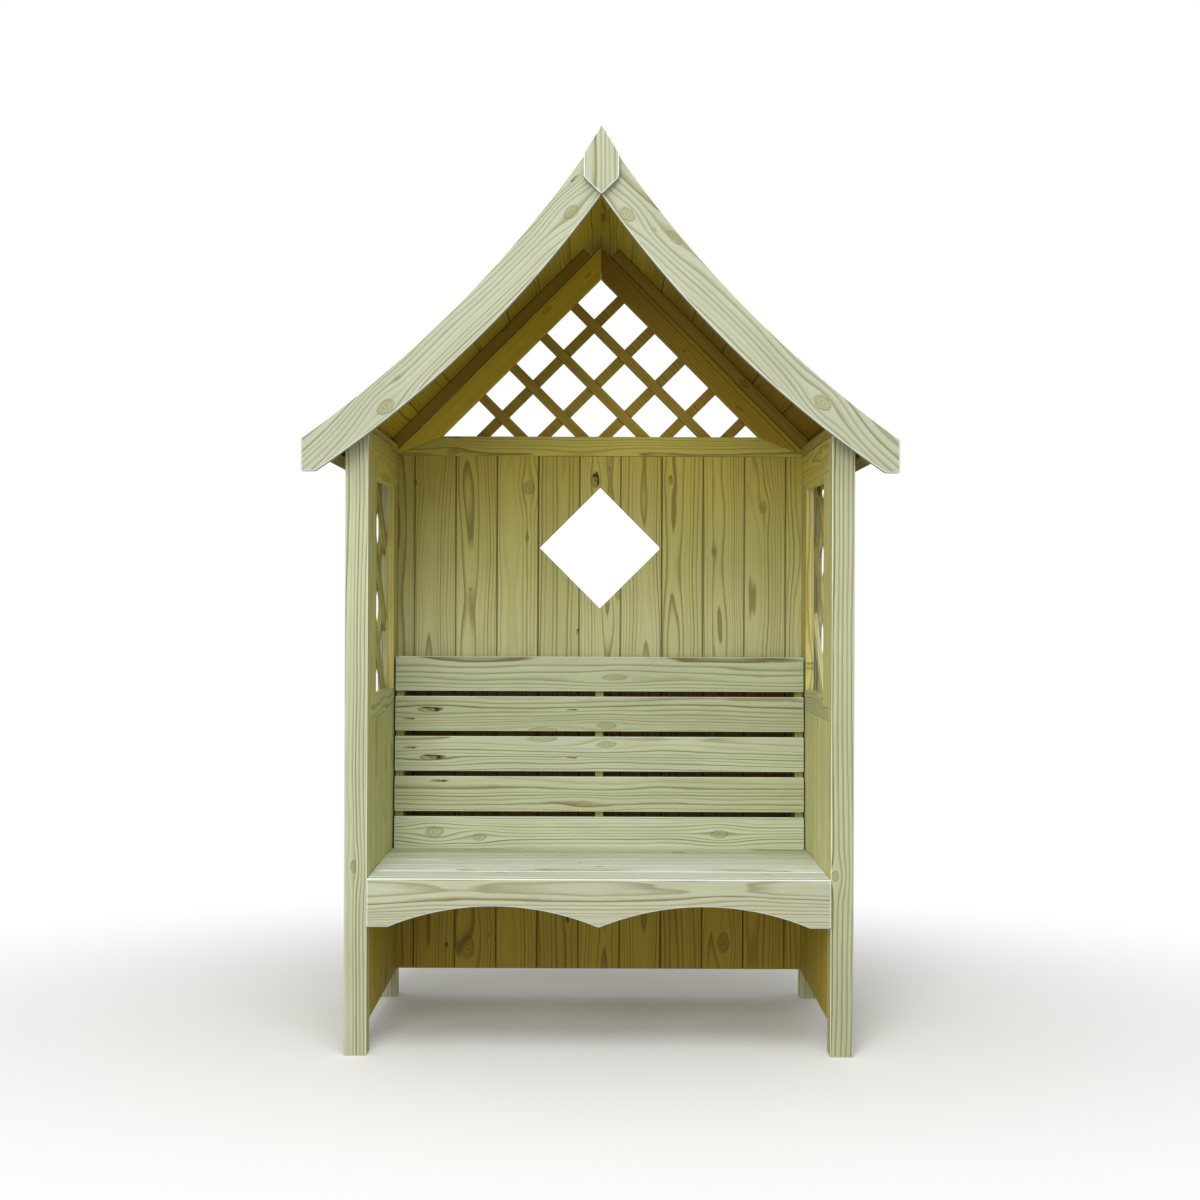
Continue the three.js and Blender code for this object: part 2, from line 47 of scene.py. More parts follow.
# Lamps by place and width in metres, power in watts and colour, and the light of the sky
LAMPS = {
    "key": ((-0.9, -5.0, 3.3), 2.3, 101, (0.99, 1.0, 0.98)),
    "top": ((0.0, -2.7, 5.2), 3.0, 95, (0.95, 0.99, 1.0)),
    "fill": ((-0.8, -5.0, 0.9), 2.4, 38, (1.0, 0.99, 0.98)),
}
LAMP_TARGET = (0, 0, 0.9)
SKY_LIGHT = 0.46
WHITE = (1, 1, 1, 1)

# Floor by its half width in metres, its colour as it lights and as it is seen, and the distances,
# which count less sideways, between which it fades to white
FLOOR_HALF = 30.0
FLOOR_LIT_COLOUR = (0.45, 0.45, 0.44, 1)
FLOOR_SEEN_COLOUR = (0.96, 0.94, 0.92, 1)
FADE_SCALE = (0.75, 1.0, 0)
FADE = (0.4, 1.9)

# Eased edges of planed pieces, and the sharper ones of laths and tongue-and-groove boards
ARRIS = 2.4 * MM
FINE_ARRIS = 0.5 * MM
SEAT_FRONT_ARRIS = 6 * MM
BOLD_ARRIS = 3.4 * MM
BOLD = ("bargeboard_front", "seat_apron", "finial")
ARRIS_STEPS = 2
ARRIS_ANGLE = math.radians(30)

# Corners are welded first, and flat faces of curved pieces joined, so that edges can be eased
WELD_REACH = 0.01 * MM
CURVED = ("bargeboard_front", "seat_apron")
FLAT_ANGLE = math.radians(0.2)

# Heads of nails and screws, with the dome and a screw's recess as shares of the radius
HEAD_RADIUS = 3.5 * MM
HEAD_RISE = 0.9 * MM
HEAD_SINK = 0.4 * MM
HEAD_SIDES = 14
DOME_SHARE = 0.7
RECESS_SHARE = 0.35
RECESS_FLOOR_SHARE = 0.2

# Where heads sit across a board and along a side rail, on which boards of the back wall, and how far
# out from the middle the places lie from which they are set
NAIL_SHARES = (0.25, 0.75)
RAIL_SHARES = (0.08, 0.29, 0.5, 0.71, 0.92)
SCREWED_BOARDS = range(-4, 4)
OUTSIDE = 1000 * MM

# Boards inside the nodes that hold several, and the margin round the board of any other node
BOARD_COVER = 108.8 * MM
BACK_BOARDS_TO_MIDDLE = 5.5
SIDE_BOARDS = 5
ROOF_BOARDS = 8
FIT_GAP = 0.3 * MM
BOARD_MARGIN = 1 * MM

# Laths at 45 degrees by their pitch, and the place of one lath of each layer, measured across it
TRELLISES = {
    "gable": {"pitch": 162 * MM / math.sqrt(2), "rising": -1271.2 * MM, "falling": 1245.1 * MM},
    "side": {"pitch": 197 * MM / math.sqrt(2), "rising": -1018.3 * MM, "falling": 805.4 * MM},
}

# Seeds give each node, each board and each layer of laths a grain of its own
FIRST_SEED = 11.0
NODE_SEED_STEP = 41.7
BOARD_SEED_STEP = 5.37
LAYER_SEED_STEP = 300
OTHER_SEED_STEP = 71.3
SEED_SHIFT = 3.1
SAME_SEED = 0.1

# How each sort of board looks. Early and late wood are written as they show on the screen, 0 to 255.
# The year ring, and how far the heart of the tree lies aside and below and swings along the board,
# are in millimetres. The edge is the strength of a painted highlight on the arrises, and below 0 of painted
# shade in the grooves.
Look = namedtuple("Look", "early late ring aside below swing edge")
LOOKS = {
    "fascia": Look((196, 200, 178), (130, 124, 74), 10, 50, 60, 45, 1),
    "apron": Look((198, 200, 167), (124, 116, 64), 7, 40, 50, 30, 1),
    "post": Look((200, 202, 165), (108, 100, 48), 7.5, 75, 50, 12, 0.6),
    "seat": Look((194, 199, 165), (110, 102, 48), 6.5, 45, 55, 22, 0.5),
    # The seat boards' look is the seat's made much paler: painted light on their tops
    "bench_painted_light": Look((236, 244, 236), (156, 152, 104), 7, 40, 50, 30, 1),
    "frame": Look((208, 210, 156), (138, 130, 70), 6, 40, 40, 30, 0.3),
    "plate": Look((190, 180, 96), (126, 112, 48), 6, 40, 40, 30, 0),
    "board": Look((210, 210, 158), (138, 130, 70), 7.5, 20, 38, 55, -0.6),
    "roof": Look((196, 196, 144), (124, 112, 54), 7, 50, 45, 20, -0.5),
    "lath": Look((204, 202, 144), (134, 122, 60), 5, 40, 40, 15, -0.5),
}
OTHER_LOOKS = {"seat_board": "bench_painted_light", "seat_apron": "apron", "wall_plate": "plate"}
KNOT_COLOUR = (160, 154, 102)
RING_COLOUR = (112, 98, 44)
CRACK_COLOUR = (30, 22, 8)
# The arris colour is a painted highlight, and the groove colour is painted shade
ARRIS_HIGHLIGHT_COLOUR = (242, 247, 240)
GROOVE_SHADE_COLOUR = (74, 64, 26)

# Noises by their scales along three axes, detail and roughness
NOISES = {
    "waver": ((1.0, 1.0, 1.0), 1.0, 0.5),
    "bow": ((2.1, 4.0, 4.0), 1.0, 0.5),
    "sway": ((1.6, 0.8, 0.8), 1.0, 0.5),
    "ripple": ((7.0, 45.0, 45.0), 2.0, 0.5),
    "uneven": ((0.4, 28.0, 28.0), 1.0, 0.5),
    "fibre": ((8.0, 300.0, 300.0), 3.0, 0.65),
    "patch": ((3.2, 14.0, 14.0), 3.0, 0.6),
    "spangle": ((900, 900, 900), 2.0, 0.5),
}
SWAY_OFFSET = (7.7, 3.1, 1.9)

# How far the noises move the year rings, and how the rings differ from board to board
SWAY = 30 * MM
RIPPLE = 4 * MM
UNEVEN = 16 * MM
HEART_ASIDE = (-20 * MM, 20 * MM)
HEART_BELOW_SHARES = (0.6, 1.4)
RING_WIDTH_SHARES = (0.75, 1.25)
BOARD_SHADES = (0.93, 1.07)

# How late wood rises within a year ring, and how strong it is from ring to ring: few are strong
LATE_START = 0.1
LATE_PEAK = 0.88
LATE_SHARPNESS = 3.2
RING_STRENGTHS = (0.2, 1.05)
RING_STRENGTH_POWER = 1.4

# How a knot bends the grain, and its outline, rings and splits, with distances over its radius
BEND_REACH = 2.5
BEND_SQUEEZE = 0.7
BEND_PULL = 0.88
OUTLINE_WAVER = 0.9
KNOT_EDGE = (0.8, 1.05)
KNOT_RINGS = 2.6
KNOT_RING_BAND = (0.7, 0.3)
KNOT_RING_STRENGTH = 0.8
OUTLINE_BAND = (1.0, 0.22)
OUTLINE_SPAN = (-0.2, 0.1)
OUTLINE_STRENGTHS = (0.5, 1.1)
DARK_STRENGTHS = (0.5, 1.1)
SPLIT_BAND = (0.75, 0.5)
SPLIT_SIDE = (-0.5, 0.1)
CORE_BAND = (0.1, 0.35)
CORE_STRENGTH = 0.7
SPLIT_DARKNESS = (0.45, 1.0)
OFF_BOARD_RADIUS = 0.001 * MM

# How much each mark colours the wood, and how it shapes the surface
FIBRE_SPAN = (0.25, 0.75)
PATCH_SPAN = (0.35, 0.75)
FIBRE_SHARE = 0.16
PATCH_SHARE = 0.14
KNOT_SHARE = 0.42
LINE_SHARE = 0.85
LATE_RELIEF = 0.6
FIBRE_RELIEF = 0.4
CRACK_RELIEF = -2.0
RELIEF_STRENGTH = 0.25
RELIEF_DEPTH = 0.4 * MM
WOOD_ROUGHNESS = (0.7, 0.6)
WOOD_SPECULAR = 0.3

# Galvanised steel
STEEL_DARK_COLOUR = (120, 122, 120)
STEEL_PALE_COLOUR = (190, 192, 190)
STEEL_ROUGHNESS = (0.35, 0.6)
STEEL_METALLIC = 0.9

# Painted light and shade on faces that look inwards, as tints at heights in millimetres: painted shade
# under the roof, seat and slats, painted light where a tint passes 1. One tint alone holds at every height.
BACK_PAINTED_SHADE_UNDER_SEAT = {150: (0.8, 0.58, 0.13), 300: (0.94, 0.68, 0.14)}
BACK_PAINTED_SHADE_BEHIND_SLATS = {420: (0.34, 0.2, 0.05), 880: (0.34, 0.2, 0.05)}
SIDE_PAINTED_SHADE_UNDER_SEAT = {250: (1, 0.78, 0.16), 380: (1, 0.78, 0.16)}
PAINTED_LIGHT_AND_SHADE = {
    "back_boards": {**BACK_PAINTED_SHADE_UNDER_SEAT, **BACK_PAINTED_SHADE_BEHIND_SLATS, 905: (1, 1, 1),
                    1160: (0.78, 0.74, 0.5), 1440: (0.78, 0.64, 0.19)},
    "back_boards_centre": {**BACK_PAINTED_SHADE_UNDER_SEAT, **BACK_PAINTED_SHADE_BEHIND_SLATS, 905: (0.98, 0.98, 0.97),
                           1160: (0.72, 0.68, 0.46), 1440: (0.7, 0.58, 0.18)},
    "side_boards_left": {**SIDE_PAINTED_SHADE_UNDER_SEAT, 420: (0.98, 1, 0.88), 900: (1, 0.98, 0.72)},
    "side_boards_right": {**SIDE_PAINTED_SHADE_UNDER_SEAT, 420: (1.3, 1.3, 1.3), 900: (1.3, 1.25, 1.1)},
    "side_trellis_left": {900: (1, 1, 0.9), 1120: (0.9, 0.84, 0.5), 1340: (0.6, 0.5, 0.22)},
    "side_trellis_right": {900: (1.3, 1.35, 1.5), 1120: (1.1, 1.08, 0.95), 1340: (0.6, 0.5, 0.22)},
    "side_stile_front_left": {0: (1.1, 1.06, 0.8)},
    "side_stile_front_right": {0: (1.35, 1.28, 1)},
    "side_stile_back": {900: (1.2, 1.08, 0.76), 1400: (1.1, 0.96, 0.56)},
    "side_top_rail": {1330: (1.2, 1.08, 0.55), 1430: (1.15, 0.98, 0.42)},
    "post_back": {400: (1.1, 1.04, 0.76), 1400: (1.05, 0.94, 0.56)},
    "post_front_left": {0: (1.16, 1.14, 0.88)},
    "post_front_right": {0: (1.4, 1.35, 1.05)},
    "gable_rail_bottom": {0: (0.82, 0.7, 0.26)},
    "gable_rail_left": {1400: (1.1, 0.86, 0.12), 2000: (0.98, 0.66, 0.042)},
    "gable_rail_right": {1400: (0.66, 0.46, 0.03), 2000: (0.36, 0.19, 0.004)},
    "gable_trellis": {1400: (0.62, 0.45, 0.075), 2000: (0.6, 0.42, 0.065)},
    "roof_batten": {1400: (0.56, 0.4, 0.06), 2000: (0.5, 0.33, 0.035)},
    "roof_batten_eaves": {0: (0.8, 0.66, 0.3)},
    "roof_boards_left": {1400: (1.04, 0.8, 0.066), 1850: (0.92, 0.68, 0.084), 1930: (1.2, 1, 0.2)},
    "roof_boards_right": {1400: (0.48, 0.28, 0.006), 1850: (0.6, 0.4, 0.04), 1930: (1.1, 0.94, 0.18)},
    "backrest_batten": {0: (0.8, 0.75, 0.5)},
}
HIGHEST_TINT = 2.0

# Pieces with painted shade all round, and pieces with painted light and shade on the inner face but not its
# round edges
SHADE_PAINTED_ALL_ROUND = ("roof_batten_front", "roof_batten_gable", "backrest_batten")
LIGHT_AND_SHADE_PAINTED_ON_FACE = ("post", "roof_boards")
FACE_TURN = (0.2, 0.6)
ROUND_TURN = (-0.6, -0.2)

# How far an arris and a narrow side turn from the face, and pieces whose narrow sides get the painted shade
# too
ARRIS_TURN = (0.995, 0.95)
SIDE_TURN = (0.1, 0.35)
SHADE_PAINTED_SIDES = ("gable_trellis", "back_boards_centre")

# Painted light and shade on some boards: the lowest back slats lighter, and the seat darker further back as
# painted shade under the roof
PAINTED_BOARD_LIGHT_AND_SHADE = {
    "back_slat_4": (1.04, 1.04, 1.04),
    "back_slat_5": (1.14, 1.18, 1.28),
    "seat_board_3": (0.92, 0.92, 0.86),
    "seat_board_4": (0.8, 0.8, 0.7),
    "seat_board_5": (0.66, 0.66, 0.52),
}

# Knots that the photograph shows, by node: X and Z in millimetres, radius, length along the grain
# as a multiple of the radius, and darkness. An empty list is for a face that shows none.
KNOTS = {
    "bargeboard_front_left": [(-69, 1925, 12, 1.5, 0.25), (-487, 1483, 14, 1.45, 0.35),
                              (-456, 1545, 3, 2, 0.5), (-60, 2000, 2.5, 4, 1)],
    "bargeboard_front_right": [(60, 1920, 13, 1.4, 0.3), (502, 1496, 14, 1.45, 0.35),
                               (118, 1883, 2.5, 2, 0.5), (165, 1868, 9, 2.2, 0.1)],
    "back_slat_1": [(40, 851, 7, 4.5, 0.15)],
    "back_slat_2": [(-147, 713, 8, 4.5, 0.2), (20, 725, 8, 3.0, 0.25), (-440, 766, 6.5, 4.2, 1),
                    (-494, 744, 2.8, 5, 1), (-72, 766, 2, 6, 1)],
    "back_slat_3": [(-146, 692, 8, 4.5, 0.2), (20, 679, 8, 3.0, 0.25), (-434, 643, 6.5, 4.2, 1),
                    (-490, 666, 2.8, 5, 1), (-72, 643, 2, 6, 1)],
    "back_slat_4": [(-415, 582, 3, 6.5, 1), (-41, 524, 7, 3.2, 0.25)],
    "back_slat_5": [(-423, 451, 13, 1.6, 0.35), (-307, 438, 8, 1.9, 0.4), (313, 448, 10, 2.0, 0.35)],
    "seat_apron": [(-470, 282, 12, 2.2, 0.2), (-190, 292, 9, 3.2, 0.2), (-408, 240, 14, 2.0, 0.2),
                   (250, 238, 12, 2.4, 0.2)],
    "back_boards_left": [(-188, 1349, 14, 1.2, 0.35), (-192, 1215, 4, 1.5, 0.6), (-489, 1359, 5, 1.5, 0.7),
                         (-342, 1077, 2.5, 1.6, 0.8), (-346, 135, 18, 1.5, 0.4), (-300, 165, 4, 1.6, 0.6),
                         (-402, 138, 4, 1.4, 0.9)],
    "back_boards_centre": [(-13, 1368, 10, 1.8, 1), (-57, 967, 5, 1.5, 0.85), (21, 1398, 3.5, 1.4, 0.7),
                           (49, 1065, 8, 1.4, 0.3), (-84, 206, 5, 1.6, 0.9)],
    "back_boards_right": [(185, 1369, 6, 1.8, 0.7), (300, 1180, 5, 1.4, 0.6), (430, 1300, 10, 1.4, 0.3),
                          (330, 150, 15, 1.6, 0.4)],
    "side_top_rail_left": [],
    "finial": [],
}

# Random knots of the other nodes: how many, radius in millimetres, length and darkness
KNOT_COUNTS = {"side_boards": 6, "roof_boards": 6, "seat_board": 2, "gable_rail": 2, "bargeboard_back": 2}
KNOT_RADII = (3, 9)
KNOT_STRETCHES = (1.3, 2.4)
KNOT_DARKNESSES = (0.15, 0.6)

# Sockets of the node groups, and of the mix node for each kind of data: two inputs and the output
VECTOR = "NodeSocketVector"
FLOAT = "NodeSocketFloat"
MARKS = {"Knot": FLOAT, "Line": FLOAT, "Crack": FLOAT}
MIX_SOCKETS = {"FLOAT": (2, 3, 0), "VECTOR": (4, 5, 1), "RGBA": (6, 7, 2)}


class Graph:
    """Short calls that add nodes to a shader tree. An input may be a socket or a plain value."""

    def __init__(self, tree):
        self.tree = tree

    def feed(self, socket, value):
        """Links a socket to another, or sets its value."""
        if isinstance(value, bpy.types.NodeSocket):
            self.tree.links.new(value, socket)
        else:
            socket.default_value = value

    def add(self, kind, inputs, **settings):
        """A node of a kind, with its settings made before its inputs are fed."""
        node = self.tree.nodes.new(kind)
        for key, value in settings.items():
            setattr(node, key, value)
        for key, value in inputs.items():
            self.feed(node.inputs[key], value)
        return node

    def math(self, operation, first, second=0.0, third=0.0):
        inputs = {0: first, 1: second, 2: third}
        return self.add("ShaderNodeMath", inputs, operation=operation).outputs[0]

    def times(self, first, *factors):
        """The product of two or more values."""
        for factor in factors:
            first = self.math("MULTIPLY", first, factor)
        return first

    def spread(self, share, low, high):
        """From low where the share is 0 to high where it is 1."""
        return self.math("MULTIPLY_ADD", share, high - low, low)

    def vector(self, operation, first, second=(0, 0, 0)):
        node = self.add("ShaderNodeVectorMath", {0: first, 1: second}, operation=operation)
        return node.outputs["Value" if operation in ("DOT_PRODUCT", "LENGTH") else "Vector"]

    def scaled(self, vector, factors):
        return self.vector("MULTIPLY", vector, factors)

    def combine(self, x, y, z):
        return self.add("ShaderNodeCombineXYZ", {0: x, 1: y, 2: z}).outputs[0]

    def separate(self, vector):
        return self.add("ShaderNodeSeparateXYZ", {0: vector}).outputs

    def noise(self, name, vector):
        """One of the noises, from 0 to 1."""
        scales, detail, roughness = NOISES[name]
        inputs = {"Vector": self.scaled(vector, scales), "Scale": 1.0, "Detail": detail,
                  "Roughness": roughness}
        return self.add("ShaderNodeTexNoise", inputs).outputs[0]

    def wander(self, name, vector):
        """One of the noises, from -0.5 to 0.5."""
        return self.math("SUBTRACT", self.noise(name, vector), 0.5)

    def random(self, seed):
        """Three random values from 0 to 1 for a seed."""
        node = self.add("ShaderNodeTexWhiteNoise", {"W": seed}, noise_dimensions="1D")
        return self.separate(node.outputs["Color"])

    def smooth(self, value, low, high):
        """0 at low and 1 at high, which may lie below it."""
        inputs = {"Value": value, "From Min": low, "From Max": high}
        node = self.add("ShaderNodeMapRange", inputs, interpolation_type="SMOOTHSTEP")
        return node.outputs["Result"]

    def band(self, value, centre, half):
        """1 at the centre, falling smoothly to 0 at half away from it."""
        return self.smooth(self.math("ABSOLUTE", self.math("SUBTRACT", value, centre)), half, 0.0)

    def ramp(self, value, stops):
        """A tint by value, straight between the stops. The ramp node holds tints up to 1 only."""
        low, high = min(stops), max(stops)
        share = self.add("ShaderNodeMapRange", {"Value": value, "From Min": low, "From Max": high})
        node = self.add("ShaderNodeValToRGB", {0: share.outputs["Result"]})
        elements = node.color_ramp.elements
        elements.remove(elements[1])
        for place, tint in stops.items():
            element = elements[0] if place == low else elements.new((place - low) / (high - low))
            element.color = (*(c / HIGHEST_TINT for c in tint), 1.0)
        return self.scaled(node.outputs[0], (HIGHEST_TINT,) * 3)

    def mix(self, factor, first, second, blend="MIX", kind="RGBA"):
        """From first to second by the factor."""
        one, two, result = MIX_SOCKETS[kind]
        inputs = {0: factor, one: first, two: second}
        return self.add("ShaderNodeMix", inputs, data_type=kind, blend_type=blend).outputs[result]

    def tinted(self, colour, tint):
        return self.mix(1.0, colour, tint, "MULTIPLY")


def linear(rgb):
    """A colour written in 0 to 255 as it looks on the screen, as linear values by the sRGB formula."""
    return tuple(((c / 255 + 0.055) / 1.055) ** 2.4 if c > 10 else c / 255 / 12.92 for c in rgb) + (1.0,)


def new_graph(owner):
    """The emptied shader tree of a material or a world."""
    owner.use_nodes = True
    owner.node_tree.nodes.clear()
    return Graph(owner.node_tree)


def new_group(name, inputs, outputs):
    """An empty node group and its graph, with what the group is given and the results it has to feed."""
    tree = bpy.data.node_groups.new(name, "ShaderNodeTree")
    for label, kind in inputs.items():
        tree.interface.new_socket(label, in_out="INPUT", socket_type=kind)
    for label, kind in outputs.items():
        tree.interface.new_socket(label, in_out="OUTPUT", socket_type=kind)
    graph = Graph(tree)
    start = graph.add("NodeGroupInput", {})
    end = graph.add("NodeGroupOutput", {})
    return tree, graph, start.outputs, end.inputs


def new_object(name, data):
    """An object with this data, in the scene."""
    made = bpy.data.objects.new(name, data)
    bpy.context.collection.objects.link(made)
    return made


def make_knot_group():
    """One knot: bends the grain round itself, and adds how much of a point is knot, line or crack."""
    inputs = {"Vector": VECTOR, "Centre": VECTOR, "Radius": FLOAT, "Stretch": FLOAT, "Dark": FLOAT,
              **MARKS}
    tree, g, given, results = new_group("knot", inputs, {"Vector": VECTOR, **MARKS})
    place, radius, dark = given["Vector"], given["Radius"], given["Dark"]
    offset = g.separate(g.vector("SUBTRACT", place, given["Centre"]))
    along = g.math("DIVIDE", g.math("DIVIDE", offset[0], given["Stretch"]), radius)
    across = g.math("DIVIDE", offset[1], radius)
    waver = g.wander("waver", g.combine(along, across, dark))
    distance = g.vector("LENGTH", g.combine(along, across, 0.0))
    away = g.times(distance, g.math("MULTIPLY_ADD", waver, OUTLINE_WAVER, 1.0))
    reach = g.vector("LENGTH", g.combine(g.times(along, BEND_SQUEEZE), across, 0.0))
    reach = g.math("DIVIDE", reach, BEND_REACH)
    near = g.math("EXPONENT", g.times(g.math("POWER", reach, 2.0), -1.0))
    pull = g.times(offset[1], near, -BEND_PULL)
    g.feed(results["Vector"], g.vector("ADD", place, g.combine(0.0, pull, 0.0)))

    # A knot has an uneven outline and faint rings, and a dark one is split along part of its outline
    inside = g.math("SUBTRACT", 1.0, g.smooth(away, *KNOT_EDGE))
    phase = g.math("FRACT", g.math("MULTIPLY_ADD", away, KNOT_RINGS, waver))
    rings = g.times(g.band(phase, *KNOT_RING_BAND), inside, KNOT_RING_STRENGTH)
    strength = g.spread(g.smooth(waver, *OUTLINE_SPAN), *OUTLINE_STRENGTHS)
    outline = g.times(g.band(away, *OUTLINE_BAND), strength)
    line = g.times(g.math("MAXIMUM", rings, outline), g.spread(dark, *DARK_STRENGTHS))
    split = g.times(g.band(away, *SPLIT_BAND), g.smooth(g.math("ADD", along, across), *SPLIT_SIDE))
    split = g.math("MAXIMUM", split, g.times(g.band(away, *CORE_BAND), CORE_STRENGTH))
    crack = g.times(split, g.smooth(dark, *SPLIT_DARKNESS))
    for mark, amount in {"Knot": inside, "Line": line, "Crack": crack}.items():
        g.feed(results[mark], g.math("MAXIMUM", amount, given[mark]))
    return tree


def make_pine_group():
    """Year rings, fibres and shades of one board, from its own along, across and through distances."""
    inputs = {"Vector": VECTOR, "Seed": FLOAT, "Ring": FLOAT, "Aside": FLOAT, "Below": FLOAT,
              "Swing": FLOAT}
    outputs = {"Late": FLOAT, "Fibre": FLOAT, "Shade": FLOAT, "Patch": FLOAT}
    tree, g, given, results = new_group("pine", inputs, outputs)
    seed = given["Seed"]
    chance = g.random(seed)
    more = g.random(g.math("ADD", seed, OTHER_SEED_STEP))
    place = g.vector("ADD", given["Vector"], g.combine(g.times(seed, SEED_SHIFT), 0.0, 0.0))
    _, across, through = g.separate(place)

    # The heart of the tree lies under the face, more or less aside, so that rings close into arches
    bow = g.wander("bow", place)
    sway = g.wander("sway", g.vector("ADD", place, SWAY_OFFSET))
    turn = g.spread(g.math("GREATER_THAN", chance[0], 0.5), -1.0, 1.0)
    heart_across = g.math("MULTIPLY_ADD", turn, given["Aside"], g.spread(more[1], *HEART_ASIDE))
    heart_across = g.math("MULTIPLY_ADD", sway, SWAY, heart_across)
    heart_depth = g.times(given["Below"], g.spread(chance[1], *HEART_BELOW_SHARES))
    heart_depth = g.math("MULTIPLY_ADD", bow, given["Swing"], heart_depth)
    sideways = g.math("SUBTRACT", across, heart_across)
    out = g.vector("LENGTH", g.combine(sideways, g.math("ADD", through, heart_depth), 0.0))
    out = g.math("MULTIPLY_ADD", g.wander("uneven", place), UNEVEN, out)
    out = g.math("MULTIPLY_ADD", g.wander("ripple", place), RIPPLE, out)

    # Late wood rises slowly over a year ring and ends sharply
    ring = g.math("DIVIDE", out, g.times(given["Ring"], g.spread(chance[2], *RING_WIDTH_SHARES)))
    phase = g.math("FRACT", ring)
    strength = g.math("POWER", g.random(g.math("FLOOR", ring))[0], RING_STRENGTH_POWER)
    strength = g.spread(strength, *RING_STRENGTHS)
    rise = g.math("POWER", g.smooth(phase, LATE_START, LATE_PEAK), LATE_SHARPNESS)
    g.feed(results["Late"], g.times(rise, g.smooth(phase, 1.0, LATE_PEAK), strength))
    g.feed(results["Fibre"], g.noise("fibre", place))
    g.feed(results["Shade"], g.spread(more[0], *BOARD_SHADES))
    g.feed(results["Patch"], g.noise("patch", place))
    return tree


def node_reach(name, axes):
    """How far a node reaches along some axes, as lowest and highest distances."""
    reach = []
    vertices = [v.co for v in frame["nodes"][name].data.vertices]
    for axis in axes:
        distances = [axis.dot(v) for v in vertices]
        reach.append((min(distances), max(distances)))
    return reach


def slope_axes(name):
    """Down a roof slope and out of its top, for a node on the left or on the right."""
    side = -1 if name.endswith("left") else 1
    return Vector((side, 0, -1)).normalized(), Vector((side, 0, 1)).normalized()


def grain_axes(name):
    """The directions along the grain, across the face and through the thickness of a node's boards."""
    down, outward = slope_axes(name)
    if name.startswith(("post", "finial", "back_boards", "backrest_batten")):
        return Z, X, Y
    if name.startswith(("side_stile", "side_boards", "side_trellis")):
        return Z, Y, X
    if name.startswith(("side_top_rail", "side_mid_rail", "side_bottom_rail", "wall_plate", "seat_bearer")):
        return Y, Z, X
    if name.startswith(("roof_boards", "roof_batten_eaves")):
        return Y, down, outward
    if name.startswith(("roof_batten", "bargeboard", "gable_rail_left", "gable_rail_right")):
        return down, outward, Y
    if name.startswith("seat_board"):
        return X, Y, Z
    return X, Z, Y


def board_widths(name, reach):
    """Where the first board of a node starts across the grain, and how wide each is."""
    low, high = reach[1]
    if name.startswith("back_boards"):
        return -BOARD_COVER * BACK_BOARDS_TO_MIDDLE, BOARD_COVER
    if name.startswith("side_boards"):
        back_wall = high + FIT_GAP
        return back_wall - BOARD_COVER * SIDE_BOARDS, BOARD_COVER
    if name.startswith("roof_boards"):
        return low, (high - low) / ROOF_BOARDS
    return low - BOARD_MARGIN, high - low + 2 * BOARD_MARGIN


def board_space(g, position, axes, start, width, middle, seed):
    """A point's distances in its own board, from the board's middle line, and that board's seed."""
    along, across, through = [g.vector("DOT_PRODUCT", position, tuple(axis)) for axis in axes]
    across = g.math("SUBTRACT", across, start)
    through = g.math("SUBTRACT", through, middle)
    index = g.math("FLOOR", g.math("DIVIDE", across, width))
    local = g.math("SUBTRACT", across, g.times(g.math("ADD", index, 0.5), width))
    board_seed = g.math("MULTIPLY_ADD", index, BOARD_SEED_STEP, seed)
    return g.combine(along, local, through), board_seed


def lath_space(g, position, name, seed):
    """The same for a trellis: each layer of laths has its own direction, and each lath its own seed."""
    gable = name.startswith("gable")
    lath = TRELLISES["gable" if gable else "side"]
    flat, out = (X, Y) if gable else (Y, X)
    low, high = node_reach(name, [out])[0]
    middle = (low + high) / 2
    rising = (flat + Z).normalized()
    falling = (flat - Z).normalized()
    pitch = lath["pitch"]
    one, one_seed = board_space(g, position, (rising, falling, out), lath["rising"] - pitch / 2,
                                pitch, middle, seed)
    two, two_seed = board_space(g, position, (falling, rising, out), lath["falling"] - pitch / 2,
                                pitch, middle, seed + LAYER_SEED_STEP)
    rises = g.math("GREATER_THAN", g.vector("DOT_PRODUCT", position, tuple(out)), middle)
    if not gable:
        rises = g.math("SUBTRACT", 1.0, rises)
    return g.mix(rises, two, one, kind="VECTOR"), g.mix(rises, two_seed, one_seed, kind="FLOAT")


def random_knots(name, reach):
    """A few knots for a node whose knots the photograph doesn't show, in distances along its axes."""
    counts = [count for prefix, count in KNOT_COUNTS.items() if name.startswith(prefix)]
    dice = random.Random(name)
    knots = []
    for _ in range(counts[0] if counts else 1):
        along = dice.uniform(*reach[0])
        across = dice.uniform(*reach[1])
        radius = dice.uniform(*KNOT_RADII) * MM
        knots.append((along, across, radius, dice.uniform(*KNOT_STRETCHES), dice.uniform(*KNOT_DARKNESSES)))
    return knots


def knots_of(name, axes, reach):
    """A node's knots: distances along its axes, radius, length and darkness."""
    if name not in KNOTS:
        return random_knots(name, reach)
    knots = []
    for x, z, radius, stretch, dark in KNOTS[name]:
        point = Vector((x * MM, 0, z * MM))
        knots.append((axes[0].dot(point), axes[1].dot(point), radius * MM, stretch, dark))
    return knots


